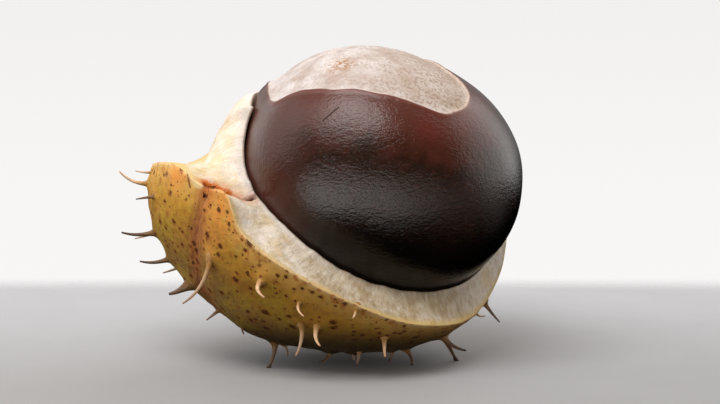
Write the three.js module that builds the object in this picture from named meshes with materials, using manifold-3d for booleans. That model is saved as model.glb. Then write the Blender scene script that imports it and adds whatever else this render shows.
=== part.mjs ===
// Buckeye in husk: a glossy horse chestnut seed lying in the open part of its green, spiny husk.
// Two valves of the husk are still grown together and form a tilted cup. The third has fallen away,
// so the cup ends in a bare face of pale flesh, thick at the stalk on the left and thin on the right.
// Millimetres, +Z up. The origin is on the surface it stands on, under the middle of its box.

import * as THREE from 'three';
import Module from 'manifold-3d';
import { mergeVertices } from 'three/addons/utils/BufferGeometryUtils.js';

const wasm = await Module();
wasm.setup();

const DEG = Math.PI / 180;

// Seed: an uneven egg, wider than high, that leans down to the right
const SEED_CENTRE = new THREE.Vector3(8.15, -4.08, 24.7);
const SEED_HALF_WIDTH = 18.5;
const SEED_HALF_DEPTH = 17.2;
const SEED_HALF_HEIGHT = 16.15;
const SEED_LEAN = 22 * DEG;
const SEED_FULLNESS = 2.12;

// Flatter places of the seed: direction of the middle, width in degrees, depth
const SEED_FLATS = [
  { toward: [0.62, 0, 0.78], width: 26, depth: 0.6 },
  { toward: [-0.9, 0, -0.4], width: 40, depth: 0.35 },
  { toward: [1, 0, 0], width: 30, depth: 0.2 },
  { toward: [0.61, 0.08, -0.79], width: 22, depth: 1.15 },
];

// Low shoulder of the seed, beyond the left end of the scar
const SEED_SHOULDER = { toward: [-0.843, 0.075, 0.532], width: 8, height: 0.75 };

// Scar on top of the seed, where it grew on the husk. Outline in degrees: round +Z from +X, down from +Z
const SCAR_OUTLINE = [
  [0, 30], [25, 28], [60, 31], [100, 40], [140, 49], [160, 51.5], [176, 52.3], [192, 54.6], [206, 57.6],
  [216, 53.2], [224, 50], [240, 47.6], [262, 47], [282, 50.2], [294, 55.4], [303, 58.8], [311, 57.8],
  [319, 55.2], [327, 51.3], [336, 45.3], [348, 37],
];
const SCAR_DEPTH = 0.3;
const SCAR_LIP = 0.12;

// Husk: directions in it are an azimuth round the pole and a polar angle from it, in degrees.
// The pole is the middle of the cup, low and a little behind the seed.
const POLE = new THREE.Vector3(-0.15, 0.43, -0.89).normalize();
const SEED_GAP = 0.3;
const GAP_AT_RIM = 0.6;
const WALL_THIN = 0.3;
const WALL_GROWTH = 8.3;
const WALL_RAMP = 0.6;
const WALL_END = 0.83;
const WALL_REACH = 0.95;
const WALL_SOFTNESS = 0.03;

// Thicker places of the wall: the stalk stub, and the belly below it
const SWELLINGS = [
  { toward: [-1, 0.05, -0.09], width: 20, height: 3.5 },
  { toward: [-0.79, 0, -0.61], width: 32, height: 4.2 },
  { toward: [0.61, 0.08, -0.79], width: 22, height: 1.15 },
];

// Rim of the husk: azimuth, polar angle of the inner edge and of the outer edge,
// and how far the face between them is a step, as on the stalk stub, and not a straight slope
const RIM = [
  [5, 68.5, 66, 0],
  [20, 64.5, 57, 0],
  [36, 62.5, 56, 0],
  [50, 63.5, 59, 0],
  [66, 64.8, 65, 0],
  [80, 66.2, 70, 0],
  [100, 70.5, 79, 0],
  [120, 79, 86, 0],
  [135, 84.5, 91, 0],
  [143, 87, 96, 0],
  [152, 89, 93.5, 0],
  [161, 92, 94, 0.3],
  [170, 95, 91, 0.8],
  [182, 101, 82.5, 1],
  [195, 106, 74, 1],
  [209, 103.5, 71.5, 1],
  [226, 97, 78, 0.6],
  [245, 93, 81, 0],
  [270, 89, 81, 0],
  [305, 82, 78, 0],
  [335, 74, 72, 0],
  [352, 69, 67, 0],
];
const STEP_SHARE = 0.42;
const STEP_POWER = 2.2;

// Seam between the two valves: a shallow furrow down the husk from the left end of the rim
const SEAM_AZIMUTH = 152;
const SEAM_DEPTH = 0.55;
const SEAM_WIDTH = 5;
const SEAM_CROWDING = 0.2;

// Splits in the flesh at both ends of the seam. Each bend is a share of the way from the seed
// to the skin, and an azimuth.
const SPLITS = [
  {
    bends: [[1.12, 152], [0.98, 152], [0.8, 156], [0.55, 153.5], [0.27, 149.5], [-0.05, 153]],
    width: 0.9,
    depth: 2.2,
  },
  {
    bends: [[1.2, 331], [0.8, 333], [0.4, 330.5], [-0.1, 332.5]],
    width: 1,
    depth: 2.6,
  },
];
const SPLIT_HEADROOM = 1.2;

// Spines: share of the length and radius there, for a spine of full size
const SPINE_SIDES = 5;
const SPINE_SINK = 1.1;
const SPINE_ROOT_RADIUS = 1.1;
const SPINE_PROFILE = [[0, 1.1], [0.16, 0.54], [0.5, 0.33], [0.82, 0.21], [1, 0.13]];
const SPINE_BEND = 0.55;
const SPINE_FULL_LENGTH = 4.5;
const SPINE_SMALLEST = 0.6;

// Spines where no hand-set ones grow: evenly spread, with some play in length and lean
const SPREAD_COUNT = 205;
const SPREAD_PLAY = 0.5;
const SPREAD_LENGTH = [3, 4.8];
const SPREAD_LEAN = 0.8;
const SPINE_CLEAR = 3.7;
const RIM_MARGIN = 8;
const GROUND_CLEAR = 0.45;
const HAND_SET_SECTOR = { from: 335, width: 229, above: 29 };

// Spines set by hand: the root's azimuth and polar angle, the way from there to the tip and,
// where they aren't as usual, the way to the bend and the girth
const HAND_SET_SPINES = [
  { root: [180, 78], tip: [-3.8, 0.1, 1.6] },
  { root: [178, 82.5], tip: [-2.1, 0.2, 0.2], girth: 0.6 },
  { root: [171, 80], tip: [-2.3, -0.3, -0.3], girth: 0.7 },
  { root: [173, 68], tip: [-4.5, -0.2, 0] },
  { root: [180, 63.5], tip: [-3.8, 0.6, -1.1], girth: 0.7 },
  { root: [167, 63], tip: [-3.9, -0.3, -0.3] },
  { root: [176, 54], tip: [-3, 0.6, -1.2], girth: 0.7 },
  { root: [157, 60], tip: [-2.9, -0.4, -1.4], bend: [-1.6, -0.3, -1.2], girth: 1.4 },
  { root: [144, 77], tip: [-3.5, -1.2, -5.7], bend: [-0.6, -1.8, -3.8] },
  { root: [152, 50], tip: [-1.6, -0.8, -1.2], girth: 0.8 },
  { root: [137, 52], tip: [0.1, -0.3, -1], girth: 0.8 },
  { root: [126, 78], tip: [0.4, -3.2, -1.6], girth: 1.1 },
  { root: [114, 74], tip: [0.6, -1.8, -1.5], girth: 0.7 },
  { root: [113.5, 63], tip: [-0.7, -2.2, -3.6], bend: [0.3, -1.4, -1.9] },
  { root: [108, 65], tip: [0.3, -3.1, -2.2], girth: 1.1 },
  { root: [96.5, 75], tip: [-0.4, -1.4, -0.7], girth: 0.7 },
  { root: [85, 61], tip: [0.1, -3, -2] },
  { root: [126, 42], tip: [0.6, -0.4, -1.5], bend: [0.7, 0, -0.6], girth: 0.7 },
  { root: [106, 36], tip: [-1.5, -1.3, -1.3] },
  { root: [92, 46], tip: [-0.3, -0.8, -1.7] },
  { root: [94, 36], tip: [0.2, -0.3, -1.1] },
  { root: [74, 38], tip: [-0.4, -0.5, -1.5] },
  { root: [54, 49], tip: [3, -0.3, -1.9], bend: [1.1, -0.4, -1.6] },
  { root: [28.5, 53.7], tip: [2, -0.3, -2.5], bend: [0.9, -0.1, -1.3], girth: 0.8 },
  { root: [37, 54], tip: [1.2, -0.2, -0.3], bend: [0.3, 0, -0.6], girth: 0.6 },
];

// Spines that carry the weight: the root as above, and where the flat tip stands beside the seed's centre
const STANDING_SPINES = [
  { root: [128.5, 44], foot: [-14.8, -6], bend: [0.1, -0.3, -1.8] },
  { root: [69, 42], foot: [3.8, -4.2], bend: [0.9, 0.2, -1.2] },
  { root: [51, 46], foot: [9.6, -1.2], bend: [0.9, 0.5, -1.6] },
  { root: [280, 12], foot: [-2.4, 15.2] },
];
const FOOT_RADIUS = 0.4;

// Meshes
const HUSK_COLUMNS = 62;
const SKIN_ROWS = 12;
const FACE_SHARES = [0.75, 0.5, 0.42, 0.32, 0.2, 0.1];
const CAVITY_ROWS = 8;
const SEED_COLUMNS = 44;
const SCAR_SHARES = [0.3, 0.6, 0.85, 0.97];
const LIP_SHARE = 1.01;
const COAT_SHARE = 1.02;
const COAT_ROWS = 15;

const { clamp, euclideanModulo, lerp } = THREE.MathUtils;

// Height of a round swelling with its middle at toward, as a share of 1
function bell(direction, toward, width) {
  const angle = direction.angleTo(new THREE.Vector3(...toward)) / DEG;
  return Math.exp(-((angle / width) ** 2));
}

// Closed smooth curve through one column of rows that start with an angle in degrees
function closedCurve(rows, column, angle) {
  const count = rows.length;
  const knot = (i) => rows[euclideanModulo(i, count)][0] + 360 * Math.floor(i / count);
  const value = (i) => rows[euclideanModulo(i, count)][column];
  const slope = (i) => (value(i + 1) - value(i - 1)) / (knot(i + 1) - knot(i - 1));
  const turned = euclideanModulo(angle - rows[0][0], 360) + rows[0][0];
  const after = rows.findIndex((row) => row[0] > turned);
  const i = after < 0 ? count - 1 : after - 1;
  const span = knot(i + 1) - knot(i);
  const t = (turned - knot(i)) / span;
  const rise = t * t * (3 - 2 * t);
  const leave = t * (1 - t) ** 2 * span * slope(i);
  const arrive = t * t * (1 - t) * span * slope(i + 1);
  return lerp(value(i), value(i + 1), rise) + leave - arrive;
}

// Repeatable draw between 0 and 1
function draw(seed) {
  const wave = Math.sin(seed * 12.9898) * 43758.5453;
  return wave - Math.floor(wave);
}

// Closed mesh from rings of points between two end points
function closedGeometry(first, rings, last) {
  const columns = rings[0].length;
  const points = [first, ...rings.flat(), last];
  const at = (ring, column) => 1 + ring * columns + (column % columns);
  const index = [];
  for (let c = 0; c < columns; c += 1) {
    index.push(0, at(0, c), at(0, c + 1));
    for (let r = 0; r < rings.length - 1; r += 1) {
      index.push(at(r, c), at(r + 1, c), at(r + 1, c + 1));
      index.push(at(r, c), at(r + 1, c + 1), at(r, c + 1));
    }
    index.push(at(rings.length - 1, c), points.length - 1, at(rings.length - 1, c + 1));
  }
  const geometry = new THREE.BufferGeometry();
  const coordinates = points.flatMap((point) => point.toArray());
  geometry.setAttribute('position', new THREE.Float32BufferAttribute(coordinates, 3));
  geometry.setIndex(index);
  return geometry;
}

// Seed: the radius of its coat in a direction from its centre
function seedRadius(direction) {
  const level = direction.clone().applyAxisAngle(new THREE.Vector3(0, 1, 0), -SEED_LEAN);
  const sum = Math.abs(level.x / SEED_HALF_WIDTH) ** SEED_FULLNESS
    + Math.abs(level.y / SEED_HALF_DEPTH) ** SEED_FULLNESS
    + Math.abs(level.z / SEED_HALF_HEIGHT) ** SEED_FULLNESS;
  const flattened = SEED_FLATS.reduce(
    (depth, flat) => depth + flat.depth * bell(direction, flat.toward, flat.width),
    0,
  );
  const shoulder = SEED_SHOULDER.height * bell(direction, SEED_SHOULDER.toward, SEED_SHOULDER.width);
  return sum ** (-1 / SEED_FULLNESS) - flattened + shoulder;
}

function seedPoint(azimuth, polar, lift) {
  const direction = new THREE.Vector3().setFromSphericalCoords(1, polar * DEG, azimuth * DEG + Math.PI / 2);
  const upright = new THREE.Vector3(direction.x, -direction.z, direction.y);
  return upright.clone().multiplyScalar(seedRadius(upright) + lift);
}

// Ring round the seed: up to share 1 it lies on the scar, from there to share 2 on the coat
function seedRing(share, lift) {
  return Array.from({ length: SEED_COLUMNS }, (_, column) => {
    const azimuth = column * 360 / SEED_COLUMNS;
    const edge = closedCurve(SCAR_OUTLINE, 1, azimuth);
    const polar = share <= 1 ? edge * share : lerp(edge, 180, share - 1);
    return seedPoint(azimuth, polar, lift);
  });
}

// The scar is sunk a little below the coat, which has a low lip round it
function seedGeometry() {
  const rings = SCAR_SHARES.map((share) => seedRing(share, -SCAR_DEPTH));
  rings.push(seedRing(LIP_SHARE, SCAR_LIP));
  for (let row = 0; row < COAT_ROWS; row += 1) {
    rings.push(seedRing(lerp(COAT_SHARE, 2, row / COAT_ROWS), 0));
  }
  return closedGeometry(seedPoint(0, 0, -SCAR_DEPTH), rings, seedPoint(0, 180, 0));
}

// Husk: directions and the two radii
const POLE_X = new THREE.Vector3(1, 0, 0).addScaledVector(POLE, -POLE.x).normalize();
const POLE_Y = POLE.clone().cross(POLE_X);

function huskDirection(azimuth, polar) {
  return POLE.clone().multiplyScalar(Math.cos(polar * DEG))
    .addScaledVector(POLE_X, Math.sin(polar * DEG) * Math.cos(azimuth * DEG))
    .addScaledVector(POLE_Y, Math.sin(polar * DEG) * Math.sin(azimuth * DEG));
}

function wallThickness(direction) {
  const away = (WALL_END - direction.x) / WALL_REACH;
  const grown = 0.5 * (away + Math.hypot(away, WALL_SOFTNESS));
  const swollen = SWELLINGS.reduce(
    (height, swell) => height + swell.height * bell(direction, swell.toward, swell.width),
    0,
  );
  return WALL_THIN + WALL_GROWTH * (1 - Math.exp(-grown)) ** WALL_RAMP + swollen;
}

// The furrow runs down the meridian at SEAM_AZIMUTH and up the other side
function seamDepth(direction) {
  const aside = 90 - direction.angleTo(huskDirection(SEAM_AZIMUTH + 90, 90)) / DEG;
  return SEAM_DEPTH * Math.exp(-((aside / SEAM_WIDTH) ** 2));
}

function skinRadius(direction) {
  return seedRadius(direction) + wallThickness(direction) - seamDepth(direction);
}

function cavityRadius(direction, share) {
  return seedRadius(direction) + lerp(SEED_GAP, GAP_AT_RIM, share ** 6);
}

// Point on the open face of the flesh, from the seed at share 0 to the skin at share 1
function facePoint(azimuth, share) {
  const inner = closedCurve(RIM, 1, azimuth);
  const outer = closedCurve(RIM, 2, azimuth);
  const climb = 1 - clamp(share / STEP_SHARE, 0, 1) ** STEP_POWER;
  const slope = lerp(1 - share, climb, closedCurve(RIM, 3, azimuth));
  const innerRadius = cavityRadius(huskDirection(azimuth, inner), 1);
  const outerRadius = skinRadius(huskDirection(azimuth, outer));
  const radius = lerp(innerRadius, outerRadius, share);
  return huskDirection(azimuth, lerp(outer, inner, slope)).multiplyScalar(radius);
}

// Ring on the skin or in the cavity, at a share of the way from the pole to the rim
function huskRing(azimuths, column, share, radius) {
  return azimuths.map((azimuth) => {
    const direction = huskDirection(azimuth, closedCurve(RIM, column, azimuth) * share);
    return direction.clone().multiplyScalar(radius(direction, share));
  });
}

function huskBodyGeometry() {
  // Columns stand closer together at the seam
  const azimuths = Array.from({ length: HUSK_COLUMNS }, (_, column) => {
    const even = column * 360 / HUSK_COLUMNS;
    return even - SEAM_CROWDING * Math.sin(2 * (even - SEAM_AZIMUTH) * DEG) / (2 * DEG);
  });
  const rings = [];
  for (let row = 1; row <= SKIN_ROWS; row += 1) {
    rings.push(huskRing(azimuths, 2, row / SKIN_ROWS, skinRadius));
  }
  for (const share of FACE_SHARES) {
    rings.push(azimuths.map((azimuth) => facePoint(azimuth, share)));
  }
  for (let row = CAVITY_ROWS; row >= 1; row -= 1) {
    rings.push(huskRing(azimuths, 1, row / CAVITY_ROWS, cavityRadius));
  }
  const underside = POLE.clone().multiplyScalar(skinRadius(POLE));
  const cavityFloor = POLE.clone().multiplyScalar(cavityRadius(POLE, 0));
  return closedGeometry(underside, rings, cavityFloor);
}

// Wedge that cuts a split: it follows the bends over the face, its point down in the flesh
function splitGeometry({ bends, width, depth }) {
  const rings = bends.map(([share, azimuth], k) => {
    const [shareBefore, azimuthBefore] = bends[Math.max(0, k - 1)];
    const [shareAfter, azimuthAfter] = bends[Math.min(bends.length - 1, k + 1)];
    const along = facePoint(azimuthAfter, shareAfter).sub(facePoint(azimuthBefore, shareBefore)).normalize();
    const around = facePoint(azimuth + 2, share).sub(facePoint(azimuth - 2, share));
    const inward = facePoint(azimuth, share - 0.05).sub(facePoint(azimuth, share + 0.05));
    const normal = around.cross(inward).normalize();
    const across = along.cross(normal).normalize();
    const halfTop = width / 2 * (depth + SPLIT_HEADROOM) / depth;
    const centre = facePoint(azimuth, share);
    const top = centre.clone().addScaledVector(normal, SPLIT_HEADROOM);
    return [
      top.clone().addScaledVector(across, halfTop),
      top.clone().addScaledVector(across, -halfTop),
      centre.clone().addScaledVector(normal, -depth),
    ];
  });
  const middle = ([a, b, c]) => a.clone().add(b).add(c).divideScalar(3);
  return closedGeometry(middle(rings[0]), rings, middle(rings.at(-1)));
}

// Spine: where it grows, the way it starts out, its bend and tip, and whether it stands on the ground
function spineAt([azimuth, polar], reach, { bend, girth = 1, stands = false }) {
  const outward = huskDirection(azimuth, polar);
  const root = outward.clone().multiplyScalar(skinRadius(outward));
  const tip = reach(root, outward);
  const straightOut = outward.clone().multiplyScalar(SPINE_BEND * root.distanceTo(tip));
  const knee = root.clone().add(bend ? new THREE.Vector3(...bend) : straightOut);
  return { outward, root, knee, tip, girth, stands };
}

function handSetSpines() {
  return HAND_SET_SPINES.map(({ root, tip, ...shape }) => (
    spineAt(root, (from) => from.clone().add(new THREE.Vector3(...tip)), shape)
  ));
}

function standingSpines() {
  return STANDING_SPINES.map(({ root, foot: [x, y], bend }) => (
    spineAt(root, () => new THREE.Vector3(x, y, -SEED_CENTRE.z), { bend, stands: true })
  ));
}

// Tip of a spread spine, drawn back where it would come too near the ground
function spreadTip(root, outward, k) {
  const length = lerp(...SPREAD_LENGTH, draw(k));
  const lean = new THREE.Vector3(draw(k + 100), draw(k + 200), draw(k + 300)).subScalar(0.5);
  const tip = root.clone().addScaledVector(outward, length).addScaledVector(lean, SPREAD_LEAN * length);
  const lowest = GROUND_CLEAR - SEED_CENTRE.z;
  const shorter = Math.min(1, (root.z - lowest) / Math.max(root.z - tip.z, 0.001));
  return tip.z < lowest ? root.clone().lerp(tip, shorter) : tip;
}

// Spines at the points of a golden spiral, where no other spine is near
function allSpines() {
  const spines = [...standingSpines(), ...handSetSpines()];
  const golden = Math.PI * (3 - Math.sqrt(5));
  for (let k = 0; k < SPREAD_COUNT; k += 1) {
    const height = 1 - 2 * (k + 0.5) / SPREAD_COUNT;
    const turn = (k + SPREAD_PLAY * draw(k + 400)) * golden;
    const level = Math.sqrt(1 - height * height);
    const direction = new THREE.Vector3(level * Math.cos(turn), level * Math.sin(turn), height);
    const azimuth = euclideanModulo(Math.atan2(direction.dot(POLE_Y), direction.dot(POLE_X)) / DEG, 360);
    const polar = direction.angleTo(POLE) / DEG;
    const spine = spineAt([azimuth, polar], (root, outward) => spreadTip(root, outward, k), {});
    const { from, width, above } = HAND_SET_SECTOR;
    const handSet = euclideanModulo(azimuth - from, 360) < width && polar > above;
    const onSkin = polar < closedCurve(RIM, 2, azimuth) - RIM_MARGIN;
    const clear = spines.every((other) => other.root.distanceTo(spine.root) > SPINE_CLEAR);
    if (onSkin && clear && !handSet) {
      spines.push(spine);
    }
  }
  return spines;
}

// Tapered, bent spine from below the skin to its tip
function spineGeometry({ outward, root, knee, tip, girth, stands }) {
  const length = root.distanceTo(tip);
  const thick = girth * lerp(SPINE_SMALLEST, 1, Math.min(1, length / SPINE_FULL_LENGTH));
  const path = new THREE.QuadraticBezierCurve3(root, knee, tip);
  const reference = new THREE.Vector3(0.31, 0.9, 0.3);
  const ring = (centre, axis, radius) => {
    const across = reference.clone().cross(axis).normalize();
    const up = across.clone().cross(axis);
    return Array.from({ length: SPINE_SIDES }, (_, k) => {
      const turn = k * 2 * Math.PI / SPINE_SIDES;
      return centre.clone()
        .addScaledVector(across, radius * Math.cos(turn))
        .addScaledVector(up, radius * Math.sin(turn));
    });
  };
  const base = root.clone().addScaledVector(outward, -SPINE_SINK);
  const rings = [ring(base, outward, SPINE_ROOT_RADIUS * thick)];
  for (const [share, radius] of SPINE_PROFILE) {
    const flat = stands && share === 1;
    const axis = flat ? new THREE.Vector3(0, 0, -1) : path.getTangent(share);
    rings.push(ring(path.getPoint(share), axis, flat ? FOOT_RADIUS : radius * thick));
  }
  return closedGeometry(base, rings, tip);
}

// Solid from a closed geometry, and back
function solidOf(geometry) {
  const merged = mergeVertices(geometry);
  const mesh = new wasm.Mesh({
    numProp: 3,
    vertProperties: Float32Array.from(merged.attributes.position.array),
    triVerts: Uint32Array.from(merged.index.array),
  });
  return new wasm.Manifold(mesh);
}

function geometryOf(solid) {
  const mesh = solid.getMesh();
  const geometry = new THREE.BufferGeometry();
  geometry.setAttribute('position', new THREE.BufferAttribute(mesh.vertProperties, 3));
  geometry.setIndex(new THREE.BufferAttribute(mesh.triVerts, 1));
  return geometry;
}

// The husk is one grown piece: its two valves, less the splits, with all its spines
function huskGeometry() {
  let husk = solidOf(huskBodyGeometry());
  for (const split of SPLITS) {
    husk = husk.subtract(solidOf(splitGeometry(split)));
  }
  for (const spine of allSpines()) {
    husk = husk.add(solidOf(spineGeometry(spine)));
  }
  return geometryOf(husk);
}

const huskSkin = new THREE.MeshStandardMaterial({ color: 0xa8963c, roughness: 0.6, metalness: 0 });
const seedCoat = new THREE.MeshStandardMaterial({ color: 0x3a1a12, roughness: 0.2, metalness: 0 });

const husk = new THREE.Mesh(huskGeometry(), huskSkin);
husk.name = 'husk';

const seed = new THREE.Mesh(seedGeometry(), seedCoat);
seed.name = 'seed';

const buckeye = new THREE.Group();
buckeye.add(husk, seed);
buckeye.position.copy(SEED_CENTRE);

export default buckeye;
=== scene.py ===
# Buckeye in husk: finer meshes, materials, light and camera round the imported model.
# Shapes are worked out in millimetres from the seed's centre, and placed in metres.

import math

import bpy
import numpy as np
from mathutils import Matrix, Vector, noise


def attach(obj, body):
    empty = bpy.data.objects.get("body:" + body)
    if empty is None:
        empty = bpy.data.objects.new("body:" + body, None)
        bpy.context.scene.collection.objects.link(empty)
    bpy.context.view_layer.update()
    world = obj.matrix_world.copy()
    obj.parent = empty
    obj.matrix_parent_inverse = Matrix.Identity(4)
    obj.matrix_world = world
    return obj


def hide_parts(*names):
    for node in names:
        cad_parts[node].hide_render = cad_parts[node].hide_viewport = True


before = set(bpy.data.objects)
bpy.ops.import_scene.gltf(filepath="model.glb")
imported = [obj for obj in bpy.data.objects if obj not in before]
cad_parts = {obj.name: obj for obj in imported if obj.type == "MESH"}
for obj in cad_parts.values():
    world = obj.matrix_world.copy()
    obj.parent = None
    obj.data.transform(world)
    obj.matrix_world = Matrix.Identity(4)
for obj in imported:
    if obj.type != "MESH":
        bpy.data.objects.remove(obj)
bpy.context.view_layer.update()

MM = 0.001

# Seed: an uneven egg, wider than high, that leans down to the right
SEED_CENTRE = np.array([8.15, -4.08, 24.7])
SEED_HALVES = np.array([18.5, 17.2, 16.15])
SEED_LEAN = math.radians(22)
SEED_FULLNESS = 2.12

# Flatter places of the seed: direction of the middle, width in degrees, depth
SEED_FLATS = [
    ((0.62, 0, 0.78), 26, 0.6),
    ((-0.9, 0, -0.4), 40, 0.35),
    ((1, 0, 0), 30, 0.2),
    ((0.61, 0.08, -0.79), 22, 1.15),
]

# Low shoulder of the seed, beyond the left end of the scar
SEED_SHOULDER = ((-0.843, 0.075, 0.532), 8, 0.75)

# Scar on top of the seed. Outline in degrees: round +Z from +X, down from +Z
SCAR_OUTLINE = np.array([
    [0, 30], [25, 28], [60, 31], [100, 40], [140, 49], [160, 51.5], [176, 52.3], [192, 54.6],
    [206, 57.6], [216, 53.2], [224, 50], [240, 47.6], [262, 47], [282, 50.2], [294, 55.4],
    [303, 58.8], [311, 57.8], [319, 55.2], [327, 51.3], [336, 45.3], [348, 37],
])
SCAR_DEPTH = 0.3
SCAR_LIP = 0.1
SCAR_EDGE = 0.55
SCAR_LIP_PLACE = 0.15
SCAR_LIP_WIDTH = 0.3

# Husk: directions in it are an azimuth round the pole and a polar angle from it, in degrees
POLE = np.array([-0.15, 0.43, -0.89])
POLE = POLE / np.linalg.norm(POLE)
SEED_GAP = 0.3
WALL_THIN = 0.3
WALL_GROWTH = 8.3
WALL_RAMP = 0.6
WALL_END = 0.83
WALL_REACH = 0.95
WALL_SOFTNESS = 0.03
SWELLINGS = [
    ((-1, 0.05, -0.09), 20, 3.5),
    ((-0.79, 0, -0.61), 32, 4.2),
    ((0.61, 0.08, -0.79), 22, 1.15),
]

# Rim: azimuth, polar angle of the inner and of the outer edge, and how far the face is a step
RIM = np.array([
    [5, 68.5, 66, 0],
    [20, 64.5, 57, 0],
    [36, 62.5, 56, 0],
    [50, 63.5, 59, 0],
    [66, 64.8, 65, 0],
    [80, 66.2, 70, 0],
    [100, 70.5, 79, 0],
    [120, 79, 86, 0],
    [135, 84.5, 91, 0],
    [143, 87, 98.5, 0],
    [152, 89, 95, 0],
    [161, 92, 94, 0.3],
    [170, 95, 91, 0.8],
    [182, 101, 82.5, 1],
    [195, 107.5, 74, 1],
    [209, 103.5, 71.5, 1],
    [226, 97, 78, 0.6],
    [245, 93, 81, 0],
    [270, 89, 81, 0],
    [305, 82, 78, 0],
    [335, 74, 72, 0],
    [352, 69, 67, 0],
])
STEP_SHARE = 0.42
STEP_POWER = 2.2

# Low relief as layers of noise: height, size of the features in mm, and shift of the noise
SKIN_RELIEF = [(0.16, 5, 0), (0.08, 1.7, 9), (0.035, 0.7, 17)]
FLESH_RELIEF = [(0.2, 4, 3), (0.12, 1.3, 7), (0.06, 0.6, 21)]
COAT_RELIEF = [(0.1, 6, 2)]
SCAR_RELIEF = [(0.1, 3, 4), (0.05, 1, 6)]
SCAR_EDGE_WANDER = [(0.25, 2.5, 11)]

# The skin's relief fades in over a distance from the rim. The open face is a little hollow, and
# its relief fades in from both edges, faster than the hollow.
RELIEF_FROM_RIM = 1.2
FACE_RISE = 3
FACE_HOLLOW = 0.25

# The flesh ends at the seed in a ragged edge: waves with their height in degrees, and one larger tip
RAGGED_WAVES = [(1.1, 1.6, 0), (1.1, 4.8, 5)]
FLESH_TIP = {"azimuth": 187.5, "width": 1.7, "height": 4}

# Seam between the two valves, and the splits at its ends. A split has its bends as share of the
# way from seed to skin and azimuth, its half width and its depth.
SEAM_AZIMUTH = 152
SEAM_DEPTH = 0.55
SEAM_WIDTH = 5
SEAM_CROWDING = 0.45
SPLITS = [
    ([(1.12, 152), (0.98, 152), (0.8, 156), (0.55, 153.5), (0.27, 149.5), (-0.05, 153)], 0.45, 1.6),
    ([(1.2, 331), (0.8, 333), (0.4, 330.5), (-0.1, 332.5)], 0.5, 2),
]
SPLIT_POWER = 0.8

# Folds beside the seam, and the groove along it that fades out away from the rim
FOLD_HEIGHT = 0.05
FOLD_REACH = 2.6
FOLD_RATE = 5
FOLD_WAVER = [(4, 3, 5)]
GROOVE_DEPTH = 0.3
GROOVE_WIDTH = 0.45
GROOVE_LENGTH = 5

# Spines, with places, tips and bends as in the part: spread ones, listed ones and the four that
# stand on the ground. Numbers for the spread ones:
SPREAD_COUNT = 205
SPREAD_PLAY = 0.5
SPREAD_LENGTH = (3, 4.8)
SPREAD_LEAN = 0.8
SPINE_CLEAR = 3.7
RIM_MARGIN = 8
GROUND_CLEAR = 0.45
SMALLEST_DROP = 0.001
HAND_SET_FROM = 335
HAND_SET_WIDTH = 229
HAND_SET_ABOVE = 29

# What is added to the number of a spread spine for its other draws
LEAN_DRAWS = (100, 200, 300)
TURN_DRAW = 400
DARKNESS_DRAW = 700
DRAW_RATE = 12.9898
DRAW_HEIGHT = 43758.5453

# Listed ones: root's azimuth and polar angle, way to the tip, way to the bend or None, girth, darkness
# Their darkness is partly the spine's own tone and partly painted shade: spines that lie in shadow or
# stand against the light are set darker.
HAND_SET_SPINES = [
    ((180, 78), (-3.8, 0.1, 1.6), None, 0.75, 0),
    ((178, 82.5), (-2.1, 0.2, 0.2), None, 0.55, 0.1),
    ((171, 80), (-2.3, -0.3, -0.3), None, 0.7, 0.9),
    ((173, 68), (-4.5, -0.2, 0), None, 0.85, 1),
    ((180, 63.5), (-3.8, 0.6, -1.1), None, 0.6, 0.2),
    ((167, 63), (-3.9, -0.3, -0.3), None, 0.85, 1),
    ((176, 54), (-3, 0.6, -1.2), None, 0.7, 0.5),
    ((157, 60), (-2.9, -0.4, -1.4), (-1.6, -0.3, -1.2), 1.4, 0.95),
    ((144, 77), (-3.5, -1.2, -5.7), (-0.6, -1.8, -3.8), 0.85, 0.4),
    ((152, 50), (-1.6, -0.8, -1.2), None, 0.8, 0.6),
    ((137, 52), (0.1, -0.3, -1), None, 0.8, 0.8),
    ((126, 78), (0.4, -3.2, -1.6), None, 0.95, 0),
    ((114, 74), (0.6, -1.8, -1.5), None, 0.7, 0),
    ((113.5, 63), (-0.7, -2.2, -3.6), (0.3, -1.4, -1.9), 0.85, 0.45),
    ((108, 65), (0.3, -3.1, -2.2), None, 0.95, 0),
    ((96.5, 75), (-0.4, -1.4, -0.7), None, 0.7, 0),
    ((85, 61), (0.1, -3, -2), None, 0.85, 0.1),
    ((126, 42), (0.6, -0.4, -1.5), (0.7, 0, -0.6), 0.7, 0.7),
    ((106, 36), (-1.5, -1.3, -1.3), None, 1, 0.9),
    ((92, 46), (-0.3, -0.8, -1.7), None, 1, 0.6),
    ((94, 36), (0.2, -0.3, -1.1), None, 1, 0.8),
    ((74, 38), (-0.4, -0.5, -1.5), None, 1, 0.9),
    ((54, 49), (3, -0.3, -1.9), (1.1, -0.4, -1.6), 1, 1),
    ((28.5, 53.7), (2, -0.3, -2.5), (0.9, -0.1, -1.3), 0.8, 1),
    ((37, 54), (1.2, -0.2, -0.3), (0.3, 0, -0.6), 0.6, 0.5),
]

# Standing ones: root, place of the flat tip beside the seed's centre, way to the bend, darkness
# Their darkness is partly the spine's own tone and partly painted shade, dark where they lie in shadow
# low down.
STANDING_SPINES = [
    ((128.5, 44), (-14.8, -6), (0.1, -0.3, -1.8), 0.95),
    ((69, 42), (3.8, -4.2), (0.9, 0.2, -1.2), 1),
    ((51, 46), (9.6, -1.2), (0.9, 0.5, -1.6), 1),
    ((280, 12), (-2.4, 15.2), None, 0.5),
]

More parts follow.
